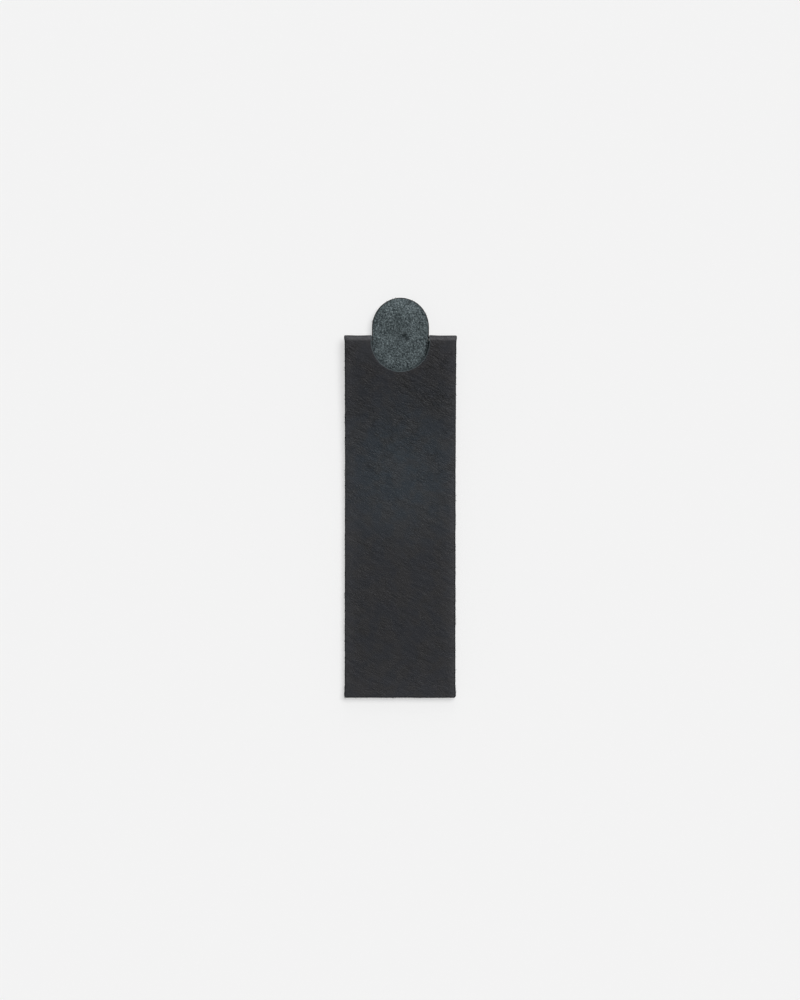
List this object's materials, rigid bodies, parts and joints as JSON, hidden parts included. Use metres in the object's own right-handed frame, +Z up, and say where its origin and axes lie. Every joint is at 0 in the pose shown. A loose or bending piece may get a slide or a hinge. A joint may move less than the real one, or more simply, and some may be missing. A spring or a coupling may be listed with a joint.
{
  "type": "folding bookmark",
  "caption": "Folded strip of dark smooth leather that clips over a page, with an arched thumb tab standing past the fold and a matching window in the front leaf.",
  "frame": {"origin": "under the middle of the outline, on the surface that the back leaf lies on", "axes": "+Y along the strip towards the thumb tab, +Z up from the back leaf to the front leaf, +X across the strip to the right as seen from the front with the tab up"},
  "size_m": [0.04, 0.1436, 0.0057],
  "materials": {
    "leather": "smooth charcoal grain outside, napped grey suede inside, raw cut edges"
  },
  "bodies": {
    "back_leaf": {"back_leaf": "leather", "tab_bend": "leather"},
    "fold": {"fold_left": "leather", "fold_right": "leather"},
    "front_leaf": {"front_leaf": "leather"},
    "thumb_tab": {"thumb_tab": "leather"}
  },
  "joints": [
    {"name": "fold_hinge", "type": "hinge", "parent": "back_leaf", "child": "fold", "pos_m": [0, 0.05736, 0.00246], "axis": [-1, 0, 0], "range_deg": [0, 88], "stiffness_Nm_per_rad": 0.008, "deforming": ["fold_left", "fold_right"]},
    {"name": "leaf_hinge", "type": "hinge", "parent": "fold", "child": "front_leaf", "pos_m": [0, 0.05719, 0.00528], "axis": [-1, 0, 0], "range_deg": [0, 88], "stiffness_Nm_per_rad": 0.008},
    {"name": "tab_flex", "type": "hinge", "parent": "back_leaf", "child": "thumb_tab", "pos_m": [0, 0.05854, 0.00274], "axis": [1, 0, 0], "range_deg": [-25, 25], "stiffness_Nm_per_rad": 0.03, "deforming": ["tab_bend"]}
  ],
  "couplings": [
    {"joint": "leaf_hinge", "follows": "fold_hinge", "ratio": 1}
  ]
}
